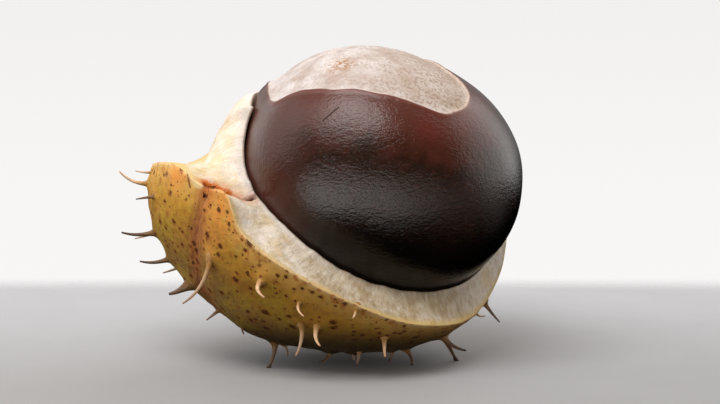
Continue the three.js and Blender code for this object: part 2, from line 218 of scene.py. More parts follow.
# Shape of a spine: its bend, size, radii, the mound under it, and the flat foot of a standing one
SPINE_BEND = 0.55
SPINE_FULL_LENGTH = 4.5
SPINE_SMALLEST = 0.6
SPINE_SINK = 1
SPINE_TIP = 0.13
SPINE_TAPER = 0.28
SPINE_FLARE = 0.65
SPINE_FLARE_REACH = 0.09
SPINE_MOUND = 0.4
SPINE_MOUND_WIDTH = 1.15
FOOT_RADIUS = 0.35
FOOT_START = 0.8
SPINE_SIDE = (0.31, 0.9, 0.3)
SPINE_START = -0.2

# Places of colour, in mm from the seed's centre
SPLIT_BLUSH = (-20.8, -15.7, -2.7)
SEAM_BLUSH = (-21.6, -14.2, -6.2)
PALE_CORNER = (-23.4, -12.3, 0.9)
STUB_BLUSH = (-26.3, -8.9, 0.6)
STUB_SPOT = (-27.7, -6.6, 0.6)
SKIN_CRACK = ((-24.9, -10.5, 1.8), (-24.5, -11.3, -0.4))
RED_PATCH = (5.8, -14.6, 7.2)
SCAR_SCUFF = (-5.5, -7.2, 15.1)
COAT_SCRATCH = ((-7.8, -14, 8.2), (-5.7, -13.6, 9.9))

# Sizes of colour: stain beside a split, length of the flesh's fibres, and wavering outline of a speck
STAIN_WIDTH = 1.25
FIBRE_STRETCH = 1.8
SPOT_WAVER = 0.45
SPOT_WAVER_RATE = 2.2

# Specks of the skin: spacing, radius and softness of a speck, the same of its border, and shift
SPECKS = [
    (1.75, (0.64, 0.22), (1.05, 0.5), (3, 7, 1)),
    (1.05, (0.33, 0.12), (0.6, 0.3), (11, 2, 5)),
]
FINE_SPECKS = (0.6, 0.16, 0.06, (1, 5, 9))

SKIN_COLOURS = {
    "near_rim": (0.66, 0.3, 0.028),
    "middle": (0.5, 0.24, 0.032),
    "low": (0.33, 0.19, 0.055),
    "olive": (0.5, 0.31, 0.035),
    "russet": (0.36, 0.15, 0.035),
    "pale_grain": (0.68, 0.42, 0.06),
    "dark_grain": (0.22, 0.1, 0.018),
    "under_rim": (0.85, 0.5, 0.16),
    "edge": (0.82, 0.6, 0.32),
    "mark": (0.5, 0.13, 0.02),
    "seam": (0.36, 0.12, 0.045),
    "seam_line": (0.17, 0.06, 0.028),
    "blush": (0.8, 0.31, 0.06),
    "stain": (0.5, 0.13, 0.022),
    "pale_corner": (0.76, 0.55, 0.27),
    "crack": (0.13, 0.04, 0.012),
    "stub_spot": (0.16, 0.05, 0.015),
    "speck_border": (0.36, 0.1, 0.016),
    "speck": (0.085, 0.024, 0.007),
    "mound": (0.36, 0.2, 0.07),
    "split": (0.22, 0.055, 0.014),
    # painted shade for the lowest part of the skin
    "underside": (0.025, 0.018, 0.011),
}

FLESH_COLOURS = {
    "fresh": (0.87, 0.76, 0.64),
    "cloud": (0.8, 0.61, 0.37),
    "tan": (0.47, 0.37, 0.24),
    "dark_tan": (0.33, 0.23, 0.12),
    "streak": (0.3, 0.19, 0.09),
    "pale_fibre": (0.86, 0.8, 0.74),
    "grain": (0.42, 0.31, 0.19),
    "lip": (0.78, 0.72, 0.68),
    # painted shade where the flesh meets the seed and in the cavity
    "painted_shade_at_seed": (0.26, 0.14, 0.07),
    "under_skin": (0.66, 0.43, 0.12),
    "stub": (0.72, 0.5, 0.16),
    "stain": (0.62, 0.15, 0.016),
    "split": (0.15, 0.035, 0.012),
}
FLESH_LIGHT_DEPTH = (0.003, 0.002, 0.001)

# Spines: pale and dark colour of each stretch. The dark one is partly the spine's own colour and partly
# painted shade.
SPINE_COLOURS = {
    "base": ((0.42, 0.21, 0.045), (0.2, 0.1, 0.03)),
    "middle": ((0.72, 0.47, 0.27), (0.1, 0.05, 0.025)),
    "tip": ((0.62, 0.36, 0.2), (0.035, 0.016, 0.01)),
}
SPINE_GRAIN = (0.2, 0.09, 0.035)

# Coat: the fall from near_scar through middle to low is painted shade; the left colour lessens it on the
# left side.
COAT_COLOURS = {
    "near_scar": (0.088, 0.022, 0.013),
    "middle": (0.02, 0.0085, 0.0045),
    "low": (0.0032, 0.0025, 0.0022),
    "leather": (0.1, 0.03, 0.02),
    "patch": (0.1, 0.024, 0.016),
    "left": (0.07, 0.02, 0.013),
    "red_patch": (0.13, 0.016, 0.014),
    "scar_border": (0.15, 0.045, 0.03),
    "scratch": (0.012, 0.005, 0.004),
}

SCAR_COLOURS = {
    "pale": (0.68, 0.61, 0.58),
    "cloud": (0.46, 0.36, 0.31),
    "right": (0.42, 0.31, 0.22),
    "mottle": (0.24, 0.15, 0.09),
    "scuff": (0.38, 0.19, 0.08),
    "border": (0.8, 0.62, 0.52),
}

# Floor: the darker front colour is painted shade
FLOOR_COLOURS = {
    "shaded_front": (0.32, 0.31, 0.305),
    "back": (0.48, 0.475, 0.485),
    "grain": (0.2, 0.2, 0.2),
}

# Floor: how much wider than deep it is, where it starts and ends to fade, and its mesh's margin
FLOOR_STRETCH = 4
FLOOR_EDGE = (50, 63)
FLOOR_MARGIN = 1.1

# Lights: direction from the seed, distance, width and height, power, and whether reflections show it
LIGHTS = {
    "softbox": ((-0.24, -0.5, 0.83), 330, (250, 170), 0.98, True),
    "left_light": ((-0.9, -0.1, 0.45), 330, (160, 220), 0.2, True),
    "back_fill": ((0.45, 0.75, 0.5), 380, (260, 200), 0.35, False),
}

# Room that the coat mirrors: directions of the window and of the wall behind, and brightness of
# each part. The table's edge is bright at the left and dim at the right.
WINDOW = (-0.32, -0.45, 0.83)
WALL_BEHIND = (0.5, 1, 0)
WINDOW_LIGHT = 2.3
BEHIND_LIGHT = 2.8
LEFT_LIGHT = 1.4
OVERHEAD_LIGHT = 0.3
TABLE_LIGHT = (6.6, 0.5)

# Brightness of the room on dull surfaces, below and above, and of the backdrop, low and high
DIFFUSE_LIGHT = (0.17, 0.57)
BACKDROP_LIGHT = (0.94, 0.8)
ROOM_COLOUR = (1, 0.985, 0.97)

# Material slots of the husk's mesh
SKIN = 0
FLESH = 1
SPINE = 2

# Fineness of the meshes
HUSK_COLUMNS = 440
SKIN_ROWS = 104
FACE_ROWS = 30
CAVITY_ROWS = 12
SPINE_SIDES = 12
SPINE_RINGS = 18
SEED_COLUMNS = 300
SCAR_ROWS = 46
COAT_ROWS = 120
ROW_CROWDING = 1.15

# Camera: seen from the front and a little above, in a frame of 720 by 404 pixels
CAMERA_RISE = math.radians(8)
CAMERA_DISTANCE = 420
FRAME_WIDTH = 720
FRAME_HEIGHT = 404
SEED_PIXEL = (383, 172)
FOCAL_PIXELS = 3231
SENSOR_WIDTH = 36


def unit(vectors):
    vectors = np.asarray(vectors, float)
    return vectors / np.linalg.norm(vectors, axis=-1, keepdims=True)


def dot(vectors, direction):
    return vectors @ np.asarray(direction, float)


def degrees_from(directions, toward):
    return np.degrees(np.arccos(np.clip(dot(directions, unit(toward)), -1, 1)))


def bell(directions, toward, width):
    return np.exp(-((degrees_from(directions, toward) / width) ** 2))


def mix(a, b, share):
    return a + (b - a) * share


def smoothstep(low, high, values):
    share = np.clip((values - low) / (high - low), 0, 1)
    return share * share * (3 - 2 * share)


def closed_curve(rows, column, angles):
    """Closed smooth curve through one column of rows that start with an angle in degrees."""
    knots = rows[:, 0]
    values = rows[:, column]
    knots = np.concatenate([knots[-1:] - 360, knots, knots[:2] + 360])
    values = np.concatenate([values[-1:], values, values[:2]])
    slopes = np.zeros(len(knots))
    slopes[1:-1] = (values[2:] - values[:-2]) / (knots[2:] - knots[:-2])
    turned = (np.asarray(angles, float) - rows[0, 0]) % 360 + rows[0, 0]
    i = np.clip(np.searchsorted(knots, turned, side="right") - 1, 1, len(knots) - 3)
    span = knots[i + 1] - knots[i]
    t = (turned - knots[i]) / span
    leave = t * (1 - t) ** 2 * span * slopes[i]
    arrive = t * t * (1 - t) * span * slopes[i + 1]
    return mix(values[i], values[i + 1], t * t * (3 - 2 * t)) + leave - arrive


def draw(seed):
    """Repeatable draw between 0 and 1, as in the part."""
    wave = math.sin(seed * DRAW_RATE) * DRAW_HEIGHT
    return wave - math.floor(wave)


def bumps(points, size, shift=0):
    """Smooth noise between about -1 and 1 with features of the given size."""
    flat = (np.asarray(points).reshape(-1, 3) / size + shift).tolist()
    values = np.array([noise.noise(point) for point in flat])
    return values.reshape(np.asarray(points).shape[:-1])


def relief(points, layers):
    """Sum of layers of noise, each with its height, the size of its features and its shift."""
    return sum(height * bumps(points, size, shift) for height, size, shift in layers)


# Seed


def seed_radius(directions):
    cos, sin = math.cos(SEED_LEAN), math.sin(SEED_LEAN)
    level = np.stack([
        dot(directions, (cos, 0, -sin)),
        dot(directions, (0, 1, 0)),
        dot(directions, (sin, 0, cos)),
    ], -1)
    total = (np.abs(level / SEED_HALVES) ** SEED_FULLNESS).sum(-1)
    flattened = sum(depth * bell(directions, toward, width) for toward, width, depth in SEED_FLATS)
    toward, width, height = SEED_SHOULDER
    return total ** (-1 / SEED_FULLNESS) - flattened + height * bell(directions, toward, width)


def seed_ring_directions(azimuths, polars):
    a = np.radians(azimuths)
    p = np.radians(polars)
    return np.stack([np.sin(p) * np.cos(a), np.sin(p) * np.sin(a), np.cos(p)], -1)


# Husk

POLE_X = unit(np.array([1, 0, 0]) - POLE * POLE[0])
POLE_Y = np.cross(POLE, POLE_X)


def husk_directions(azimuths, polars):
    a = np.radians(np.asarray(azimuths, float))[..., None]
    p = np.radians(np.asarray(polars, float))[..., None]
    return np.cos(p) * POLE + np.sin(p) * (np.cos(a) * POLE_X + np.sin(a) * POLE_Y)


def wall_thickness(directions):
    away = (WALL_END - directions[..., 0]) / WALL_REACH
    grown = 0.5 * (away + np.hypot(away, WALL_SOFTNESS))
    swollen = sum(height * bell(directions, toward, width) for toward, width, height in SWELLINGS)
    return WALL_THIN + WALL_GROWTH * (1 - np.exp(-grown)) ** WALL_RAMP + swollen


def seam_degrees(directions):
    return 90 - degrees_from(directions, husk_directions(SEAM_AZIMUTH + 90, 90))


def skin_radius(directions):
    furrow = SEAM_DEPTH * np.exp(-((seam_degrees(directions) / SEAM_WIDTH) ** 2))
    return seed_radius(directions) + wall_thickness(directions) - furrow


def cavity_radius(directions):
    return seed_radius(directions) + SEED_GAP


def inner_edge(azimuths):
    """Polar angle of the ragged inner edge of the flesh."""
    azimuths = np.asarray(azimuths, float)
    turn = np.radians(azimuths)
    around = SEED_HALVES[0] * np.stack([np.cos(turn), np.sin(turn), np.zeros_like(turn)], -1)
    aside = (azimuths - FLESH_TIP["azimuth"]) / FLESH_TIP["width"]
    tip = FLESH_TIP["height"] * np.exp(-(aside ** 2))
    return closed_curve(RIM, 1, azimuths) + relief(around, RAGGED_WAVES) + tip


def face_points(azimuths, share):
    """Points on the open face of the flesh, from the seed at share 0 to the skin at share 1."""
    azimuths = np.asarray(azimuths, float)
    inner = inner_edge(azimuths)
    outer = closed_curve(RIM, 2, azimuths)
    climb = 1 - np.clip(share / STEP_SHARE, 0, 1) ** STEP_POWER
    slope = mix(1 - share, climb, closed_curve(RIM, 3, azimuths))
    inner_radius = cavity_radius(husk_directions(azimuths, inner))
    outer_radius = skin_radius(husk_directions(azimuths, outer))
    directions = husk_directions(azimuths, mix(outer, inner, slope))
    return directions * mix(inner_radius, outer_radius, share)[..., None]


def distance_to_path(points, path):
    """Distance from each point to a path of straight pieces."""
    nearest = np.full(points.shape[:-1], np.inf)
    for start, end in zip(path[:-1], path[1:]):
        piece = end - start
        along = np.clip(dot(points - start, piece) / (piece @ piece), 0, 1)
        foot = start + along[..., None] * piece
        nearest = np.minimum(nearest, np.linalg.norm(points - foot, axis=-1))
    return nearest


# Spines


def skin_point(place):
    outward = husk_directions(*place)
    return outward * skin_radius(outward)


def spine(place, tip, bend=None, girth=1.0, darkness_and_shade=0.5, stands=False):
    """One spine, from its place on the skin to its tip, which is given beside the seed's centre."""
    outward = husk_directions(*place)
    root = skin_point(place)
    way = outward * SPINE_BEND * np.linalg.norm(tip - root) if bend is None else np.array(bend)
    return {
        "root": root,
        "outward": outward,
        "knee": root + way,
        "tip": tip,
        "girth": girth,
        "darkness_and_shade": darkness_and_shade,
        "stands": stands,
    }


def spread_place(k):
    """Azimuth and polar angle of spread spine k: evenly spread, with some play."""
    golden = math.pi * (3 - math.sqrt(5))
    height = 1 - 2 * (k + 0.5) / SPREAD_COUNT
    turn = (k + SPREAD_PLAY * draw(k + TURN_DRAW)) * golden
    level = math.sqrt(1 - height * height)
    direction = np.array([level * math.cos(turn), level * math.sin(turn), height])
    azimuth = math.degrees(math.atan2(direction @ POLE_Y, direction @ POLE_X)) % 360
    return azimuth, float(degrees_from(direction, POLE))


def spread_tip(place, k):
    """Tip of spread spine k, which is shorter where it would touch the ground."""
    root = skin_point(place)
    length = mix(SPREAD_LENGTH[0], SPREAD_LENGTH[1], draw(k))
    lean = np.array([draw(k + added) for added in LEAN_DRAWS]) - 0.5
    tip = root + husk_directions(*place) * length + lean * SPREAD_LEAN * length
    lowest = GROUND_CLEAR - SEED_CENTRE[2]
    if tip[2] < lowest:
        shorter = min(1, (root[2] - lowest) / max(root[2] - tip[2], SMALLEST_DROP))
        tip = mix(root, tip, shorter)
    return tip


def all_spines():
    spines = []
    for place, (x, y), bend, darkness_and_shade in STANDING_SPINES:
        tip = np.array([x, y, -SEED_CENTRE[2]])
        spines.append(spine(place, tip, bend, darkness_and_shade=darkness_and_shade, stands=True))
    for place, way, bend, girth, darkness_and_shade in HAND_SET_SPINES:
        tip = skin_point(place) + np.array(way)
        spines.append(spine(place, tip, bend, girth, darkness_and_shade))
    for k in range(SPREAD_COUNT):
        place = spread_place(k)
        azimuth, polar = place
        new = spine(place, spread_tip(place, k), darkness_and_shade=draw(k + DARKNESS_DRAW))
        hand_set = (azimuth - HAND_SET_FROM) % 360 < HAND_SET_WIDTH and polar > HAND_SET_ABOVE
        on_skin = polar < closed_curve(RIM, 2, azimuth) - RIM_MARGIN
        clear = all(np.linalg.norm(other["root"] - new["root"]) > SPINE_CLEAR for other in spines)
        if on_skin and clear and not hand_set:
            spines.append(new)
    return spines


SPINES = all_spines()


# Meshes


def ring_faces(rings, columns, start):
    """Faces of a closed skin: point start, then the rings, then a last point."""
    at = start + 1 + np.arange(rings * columns).reshape(rings, columns)
    turned = np.roll(at, -1, axis=1)
    quads = np.stack([at[:-1], at[1:], turned[1:], turned[:-1]], -1).reshape(-1, 4)
    first = [(start, a, b) for a, b in zip(at[0], turned[0])]
    end = start + 1 + rings * columns
    last = [(a, end, b) for a, b in zip(at[-1], turned[-1])]
    return first, quads.tolist(), last


class Build:
    """Collects closed skins with their attributes and materials, and makes one mesh of them."""

    def __init__(self, names):
        self.points = []
        self.faces = []
        self.materials = []
        self.values = {name: [] for name in names}
        self.count = 0

    def add(self, first, rings, last, ring_materials, values):
        ring_count, columns = rings.shape[:2]
        top, quads, bottom = ring_faces(ring_count, columns, self.count)
        self.faces += top + quads + bottom
        per_band = np.repeat(ring_materials[:-1], columns).tolist()
        self.materials += [ring_materials[0]] * columns + per_band + [ring_materials[-1]] * columns
        self.points += [first[None], rings.reshape(-1, 3), last[None]]
        for name, kept in self.values.items():
            ring_values = values.get(name, np.zeros((ring_count, columns)))
            kept += [ring_values[:1, 0], ring_values.reshape(-1), ring_values[-1:, 0]]
        self.count += ring_count * columns + 2

    def finish(self, name, materials):
        points = (np.concatenate(self.points) + SEED_CENTRE) * MM
        mesh = bpy.data.meshes.new(name)
        mesh.from_pydata(points.tolist(), [], self.faces)
        for material in materials:
            mesh.materials.append(material)
        mesh.polygons.foreach_set("material_index", self.materials)
        mesh.polygons.foreach_set("use_smooth", [True] * len(mesh.polygons))
        for value_name, kept in self.values.items():
            layer = mesh.attributes.new(value_name, "FLOAT", "POINT")
            layer.data.foreach_set("value", np.concatenate(kept).astype(np.float32))
        mesh.update()
        piece = bpy.data.objects.new(name, mesh)
        bpy.context.collection.objects.link(piece)
        return piece


def split_depth(points):
    """How deep the splits cut at each point, and how strongly the flesh is stained there."""
    depth = np.zeros(points.shape[:-1])
    stain = np.zeros(points.shape[:-1])
    for bends, half_width, deepest in SPLITS:
        path = np.array([face_points(azimuth, share) for share, azimuth in bends])
        away = distance_to_path(points, path)
        wedge = np.clip(1 - away / half_width, 0, 1)
        depth = np.maximum(depth, deepest * wedge ** SPLIT_POWER)
        stain = np.maximum(stain, np.exp(-((away / STAIN_WIDTH) ** 2)))
    return depth, stain


def mounds(points):
    """Height of the low mounds that the spines grow from."""
    height = np.zeros(points.shape[:-1])
    for one in SPINES:
        away = np.linalg.norm(points - one["root"], axis=-1) / (SPINE_MOUND_WIDTH * one["girth"])
        height = np.maximum(height, one["girth"] * np.exp(-(away ** 2)))
    return height


def grid_normals(rings):
    """Outward normals of a grid of rings."""
    down = np.gradient(rings, axis=0)
    around = np.roll(rings, -1, axis=1) - np.roll(rings, 1, axis=1)
    return unit(np.cross(down, around))


def husk_azimuths():
    even = np.arange(HUSK_COLUMNS) * 360 / HUSK_COLUMNS
    turn = np.radians(2 * (even - SEAM_AZIMUTH))
    return even - np.degrees(SEAM_CROWDING * np.sin(turn) / 2)


def skin_rings(azimuths):
    share = (np.arange(1, SKIN_ROWS + 1) / SKIN_ROWS)[:, None]
    edge = closed_curve(RIM, 2, azimuths)
    polars = edge * share
    directions = husk_directions(np.broadcast_to(azimuths, polars.shape), polars)
    radius = skin_radius(directions)
    surface = directions * radius[..., None]
    rim_mm = np.radians(edge - polars) * radius
    seam_mm = np.radians(seam_degrees(directions)) * radius
    mound = mounds(surface)
    folds = np.sin(seam_mm * FOLD_RATE + relief(surface, FOLD_WAVER))
    folds = FOLD_HEIGHT * folds * np.exp(-((seam_mm / FOLD_REACH) ** 2))
    groove = np.exp(-((seam_mm / GROOVE_WIDTH) ** 2)) * np.exp(-rim_mm / GROOVE_LENGTH)
    lift = SPINE_MOUND * mound + relief(surface, SKIN_RELIEF) + folds - GROOVE_DEPTH * groove
    cut, stain = split_depth(surface)
    radius = radius + lift * smoothstep(0, RELIEF_FROM_RIM, rim_mm) - cut
    values = {
        "rim_mm": rim_mm,
        "seam_mm": seam_mm,
        "mound": mound,
        "split": cut,
        "stain": stain,
    }
    return directions * radius[..., None], values


def face_rings(azimuths):
    shares = 1 - np.arange(1, FACE_ROWS) / FACE_ROWS
    rings = np.array([face_points(azimuths, share) for share in shares])
    normals = grid_normals(rings)
    share = np.broadcast_to(shares[:, None], rings.shape[:2])
    hollow = np.sin(np.pi * share)
    lift = relief(rings, FLESH_RELIEF) * np.minimum(1, FACE_RISE * hollow) - FACE_HOLLOW * hollow
    cut, stain = split_depth(rings)
    values = {"share": share, "split": cut, "stain": stain}
    return rings + normals * (lift - cut)[..., None], values


def cavity_rings(azimuths):
    share = (np.arange(CAVITY_ROWS, 0, -1) / CAVITY_ROWS)[:, None]
    polars = inner_edge(azimuths) * share
    directions = husk_directions(np.broadcast_to(azimuths, polars.shape), polars)
    return directions * cavity_radius(directions)[..., None], {}


def spine_rings(one):
    """Rings of one spine from below the skin to its tip."""
    root = one["root"]
    knee = one["knee"]
    tip = one["tip"]
    girth = one["girth"]
    length = np.linalg.norm(tip - root)
    thick = girth * mix(SPINE_SMALLEST, 1, min(1, length / SPINE_FULL_LENGTH))
    path = [root - one["outward"] * SPINE_SINK]
    along = [SPINE_START]
    radii = [(SPINE_TIP + SPINE_TAPER + SPINE_FLARE) * thick]
    for share in np.linspace(0, 1, SPINE_RINGS) ** ROW_CROWDING:
        flare = SPINE_FLARE * math.exp(-share / (SPINE_FLARE_REACH * girth ** 2))
        radius = (SPINE_TIP + SPINE_TAPER * (1 - share) + flare) * thick
        if one["stands"] and share > FOOT_START:
            radius = mix(radius, FOOT_RADIUS, (share - FOOT_START) / (1 - FOOT_START))
        path.append((1 - share) ** 2 * root + 2 * share * (1 - share) * knee + share ** 2 * tip)
        along.append(share)
        radii.append(radius)
    path = np.array(path)
    axes = unit(np.gradient(path, axis=0))
    if one["stands"]:
        axes[-1] = (0, 0, -1)
    across = unit(np.cross(SPINE_SIDE, axes))
    up = np.cross(across, axes)
    turn = np.linspace(0, 2 * np.pi, SPINE_SIDES, endpoint=False)[None, :, None]
    rings = path[:, None] + np.array(radii)[:, None, None] * (
        np.cos(turn) * across[:, None] + np.sin(turn) * up[:, None]
    )
    rings[..., 2] = np.maximum(rings[..., 2], -SEED_CENTRE[2])
    values = {
        "along": np.outer(along, np.ones(SPINE_SIDES)),
        "tone_and_shade": np.full(rings.shape[:2], one["darkness_and_shade"]),
    }
    return path[0], rings, path[-1], values


def build_husk(materials):
    azimuths = husk_azimuths()
    parts = [skin_rings(azimuths), face_rings(azimuths), cavity_rings(azimuths)]
    rings = np.concatenate([part for part, _values in parts])
    values = {
        name: np.concatenate([values.get(name, np.zeros(part.shape[:2])) for part, values in parts])
        for name in ("rim_mm", "seam_mm", "mound", "share", "split", "stain")
    }
    values["share"][:SKIN_ROWS] = 1
    turn = np.broadcast_to(np.radians(azimuths), rings.shape[:2])
    values["across"] = SEED_HALVES[0] * np.cos(turn)
    values["round"] = SEED_HALVES[0] * np.sin(turn)
    build = Build([*values, "along", "tone_and_shade"])
    ring_materials = [SKIN] * (SKIN_ROWS - 1) + [FLESH] * (len(rings) - SKIN_ROWS + 1)
    underside = POLE * np.linalg.norm(rings[0], axis=-1).mean()
    cavity_floor = POLE * np.linalg.norm(rings[-1], axis=-1).mean()
    build.add(underside, rings, cavity_floor, ring_materials, values)
    for one in SPINES:
        first, rings, last, spine_values = spine_rings(one)
        build.add(first, rings, last, [SPINE] * len(rings), spine_values)
    return build.finish("husk_fine", materials)


def build_seed(materials):
    azimuths = np.arange(SEED_COLUMNS) * 360 / SEED_COLUMNS
    edge = closed_curve(SCAR_OUTLINE, 1, azimuths)
    inner = (np.arange(1, SCAR_ROWS + 1) / SCAR_ROWS)[:, None] * edge
    outer = (np.arange(1, COAT_ROWS) / COAT_ROWS)[:, None] ** ROW_CROWDING * (180 - edge) + edge
    polars = np.concatenate([inner, outer])
    spread = np.broadcast_to(azimuths, polars.shape)
    directions = seed_ring_directions(spread, polars)
    radius = seed_radius(directions)
    surface = directions * radius[..., None]
    edge_mm = np.radians(polars - edge) * radius
    wander = edge_mm + relief(surface, SCAR_EDGE_WANDER)
    sunk = 1 - smoothstep(-SCAR_EDGE, 0, wander)
    lip = np.exp(-(((wander - SCAR_LIP_PLACE) / SCAR_LIP_WIDTH) ** 2))
    lift = SCAR_LIP * lip - SCAR_DEPTH * sunk
    lift += mix(relief(surface, COAT_RELIEF), relief(surface, SCAR_RELIEF), sunk)
    points = directions * (radius + lift)[..., None]
    build = Build(["edge_mm"])
    first = np.array([0, 0, np.linalg.norm(points[0], axis=-1).mean()])
    last = np.array([0, 0, -float(seed_radius(np.array([0, 0, -1.0])))])
    build.add(first, points, last, [0] * len(points), {"edge_mm": wander})
    return build.finish("seed_fine", materials)


# Materials


class Nodes:
    """Short calls for the nodes of one tree. Its place is the given coordinates times scale."""

    def __init__(self, tree, coordinates, scale):
        self.tree = tree
        source = tree.nodes.new("ShaderNodeTexCoord").outputs[coordinates]
        self.place = self.vector("SCALE", source, scale=scale)

    def set(self, socket, value):
        if isinstance(value, bpy.types.NodeSocket):
            self.tree.links.new(value, socket)
        elif hasattr(socket.default_value, "__len__") and hasattr(value, "__len__"):
            socket.default_value = tuple(value) + (1,) * (len(socket.default_value) - len(value))
        else:
            socket.default_value = value

    def value(self, name):
        node = self.tree.nodes.new("ShaderNodeAttribute")
        node.attribute_name = name
        return node.outputs["Fac"]

    def axes(self):
        """The three coordinates of the place."""
        node = self.tree.nodes.new("ShaderNodeSeparateXYZ")
        self.set(node.inputs[0], self.place)
        return node.outputs[0], node.outputs[1], node.outputs[2]

    def vector(self, operation, a, b=None, scale=None):
        node = self.tree.nodes.new("ShaderNodeVectorMath")
        node.operation = operation
        self.set(node.inputs[0], a)
        if b is not None:
            self.set(node.inputs[1], b)
        if scale is not None:
            self.set(node.inputs["Scale"], scale)
        is_number = operation in ("LENGTH", "DISTANCE", "DOT_PRODUCT")
        return node.outputs["Value" if is_number else "Vector"]

    def math(self, operation, a, b=0.0, c=0.0):
        node = self.tree.nodes.new("ShaderNodeMath")
        node.operation = operation
        for socket, value in zip(node.inputs, (a, b, c)):
            self.set(socket, value)
        return node.outputs[0]

    def times(self, a, b):
        return self.math("MULTIPLY", a, b)

    def larger(self, a, b):
        return self.math("MAXIMUM", a, b)

    def ramp(self, value, low, high, start=0.0, end=1.0):
        """Smooth change from start to end as value goes from low to high."""
        node = self.tree.nodes.new("ShaderNodeMapRange")
        node.interpolation_type = "SMOOTHSTEP"
        for socket, number in zip(node.inputs, (value, low, high, start, end)):
            self.set(socket, number)
        return node.outputs[0]

    def noise(self, size, detail=3.0, rough=0.55, stretch=None, shift=(0, 0, 0), place=None):
        place = self.place if place is None else place
        if stretch is not None:
            place = self.vector("MULTIPLY", place, stretch)
        place = self.vector("ADD", place, shift)
        node = self.tree.nodes.new("ShaderNodeTexNoise")
        self.set(node.inputs["Vector"], place)
        self.set(node.inputs["Scale"], 1 / size)
        self.set(node.inputs["Detail"], detail)
        self.set(node.inputs["Roughness"], rough)
        return node.outputs["Fac"]

    def spots(self, spacing, radius, soft, shift=(0, 0, 0)):
        """Uneven spots of many sizes: 1 in a spot and 0 outside."""
        waver = self.tree.nodes.new("ShaderNodeTexNoise")
        self.set(waver.inputs["Vector"], self.place)
        self.set(waver.inputs["Scale"], SPOT_WAVER_RATE)
        bend = self.vector("SCALE", waver.outputs["Color"], scale=SPOT_WAVER)
        bent = self.vector("ADD", self.place, bend)
        node = self.tree.nodes.new("ShaderNodeTexVoronoi")
        self.set(node.inputs["Vector"], self.vector("ADD", bent, shift))
        self.set(node.inputs["Scale"], 1 / spacing)
        self.set(node.inputs["Randomness"], 1.0)
        size = self.tree.nodes.new("ShaderNodeSeparateColor")
        self.set(size.inputs[0], node.outputs["Color"])
        reach = self.times(size.outputs[0], radius / spacing)
        inside = self.math("SUBTRACT", reach, node.outputs["Distance"])
        return self.ramp(inside, 0.0, soft / spacing)

    def mix(self, factor, a, b):
        node = self.tree.nodes.new("ShaderNodeMix")
        node.data_type = "RGBA"
        self.set(node.inputs["Factor"], factor)
        self.set(node.inputs[6], a)
        self.set(node.inputs[7], b)
        return node.outputs[2]

    def bump(self, height, depth):
        """Normal of a relief that is depth millimetres high."""
        node = self.tree.nodes.new("ShaderNodeBump")
        self.set(node.inputs["Height"], height)
        self.set(node.inputs["Distance"], depth * MM)
        self.set(node.inputs["Strength"], 1.0)
        return node.outputs[0]


class MaterialNodes(Nodes):
    """Nodes of one material, with places in millimetres."""

    def __init__(self, name):
        self.material = bpy.data.materials.new(name)
        self.material.use_nodes = True
        super().__init__(self.material.node_tree, "Object", 1 / MM)
        self.shader = self.tree.nodes["Principled BSDF"]

    def finish(self, color, roughness, normal=None, **constants):
        self.set(self.shader.inputs["Base Color"], color)
        self.set(self.shader.inputs["Roughness"], roughness)
        if normal is not None:
            self.set(self.shader.inputs["Normal"], normal)
        for name, value in constants.items():
            self.set(self.shader.inputs[name.replace("_", " ")], value)
        return self.material


def near_point(n, point, reach):
    """1 at a place in mm from the seed's centre, fading out over reach."""
    away = n.vector("DISTANCE", n.place, tuple(np.array(point) + SEED_CENTRE))
    return n.ramp(away, 0.0, reach, 1.0, 0.0)


def near_line(n, start, end, width):
    """1 on a straight line between two places in mm from the seed's centre, fading out over width."""
    way = np.subtract(end, start)
    from_start = n.vector("SUBTRACT", n.place, tuple(np.array(start) + SEED_CENTRE))
    share = n.vector("DOT_PRODUCT", from_start, tuple(way / (way @ way)))
    share = n.math("MINIMUM", n.larger(share, 0.0), 1.0)
    foot = n.vector("SCALE", tuple(way), scale=share)
    return n.ramp(n.vector("DISTANCE", from_start, foot), 0.0, width, 1.0, 0.0)


